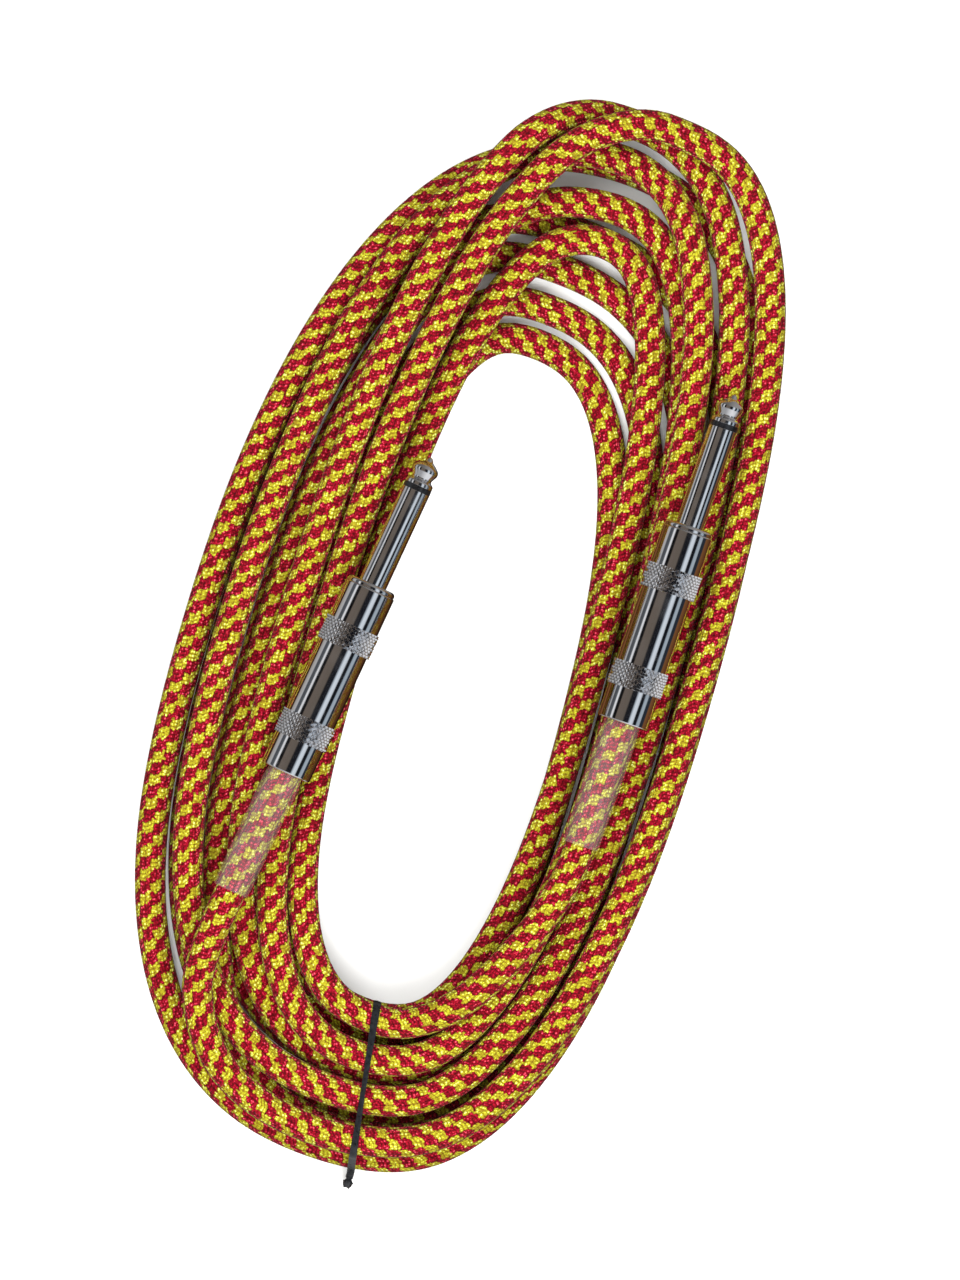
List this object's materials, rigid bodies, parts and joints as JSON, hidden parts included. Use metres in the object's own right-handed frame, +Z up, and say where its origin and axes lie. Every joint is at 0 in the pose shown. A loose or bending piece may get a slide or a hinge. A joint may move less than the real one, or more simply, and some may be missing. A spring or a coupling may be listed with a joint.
{
  "type": "coiled instrument cable",
  "caption": "Braided audio lead wound in a tied oval coil, with a straight quarter-inch mono plug on each end and shells that unscrew.",
  "frame": {"origin": "middle of the outline at the level of the table that the coil lies on", "axes": "+Z up from the table, +Y along the length of the coil towards the fan of the turns, +X to the right as seen from above"},
  "size_m": [0.1184, 0.2488, 0.034],
  "materials": {
    "braid": "matte",
    "tie": "gloss",
    "shell_metal": "polished",
    "sleeve_metal": "polished",
    "tip_metal": "polished",
    "black_insulator": "satin",
    "fibre_washer": "matte",
    "tinned_lug": "satin",
    "clear_tube": "gloss",
    "clear_sleeve": "gloss",
    "core_plastic": "satin",
    "copper": "satin",
    "solder": "satin"
  },
  "bodies": {
    "cable": {"left_tip_contact": "tip_metal", "left_tip_insulator": "black_insulator", "left_sleeve_body": "sleeve_metal", "left_rear_insulator": "fibre_washer", "left_ground_lug": "tinned_lug", "left_tip_lug": "tinned_lug", "left_core_insulation": "core_plastic", "left_core_wire": "copper", "left_screen_tail": "copper", "left_solder_joints": "solder", "left_strain_sleeve": "clear_sleeve", "right_tip_contact": "tip_metal", "right_tip_insulator": "black_insulator", "right_sleeve_body": "sleeve_metal", "right_rear_insulator": "fibre_washer", "right_ground_lug": "tinned_lug", "right_tip_lug": "tinned_lug", "right_core_insulation": "core_plastic", "right_core_wire": "copper", "right_screen_tail": "copper", "right_solder_joints": "solder", "right_strain_sleeve": "clear_sleeve", "coiled_cord": "braid", "twist_tie": "tie"},
    "left_insulating_tube": {"left_insulating_tube": "clear_tube"},
    "left_shell": {"left_shell": "shell_metal"},
    "right_insulating_tube": {"right_insulating_tube": "clear_tube"},
    "right_shell": {"right_shell": "shell_metal"}
  },
  "joints": [
    {"name": "left_tube_slide", "type": "slide", "parent": "cable", "child": "left_insulating_tube", "axis": [-0.1719, -0.9851, 0], "range_m": [0, 0.006]},
    {"name": "left_shell_screw", "type": "hinge", "parent": "left_insulating_tube", "child": "left_shell", "pos_m": [-0.02339, -0.01233, 0.02785], "axis": [-0.1719, -0.9851, 0], "range_deg": [0, 2880]},
    {"name": "right_tube_slide", "type": "slide", "parent": "cable", "child": "right_insulating_tube", "axis": [-0.068, -0.9977, 0], "range_m": [0, 0.006]},
    {"name": "right_shell_screw", "type": "hinge", "parent": "right_insulating_tube", "child": "right_shell", "pos_m": [0.04249, 0.01762, 0.02785], "axis": [-0.068, -0.9977, 0], "range_deg": [0, 2880]}
  ],
  "couplings": [
    {"joint": "left_tube_slide", "follows": "left_shell_screw", "m_per_rad": 0.00011937},
    {"joint": "right_tube_slide", "follows": "right_shell_screw", "m_per_rad": 0.00011937}
  ]
}
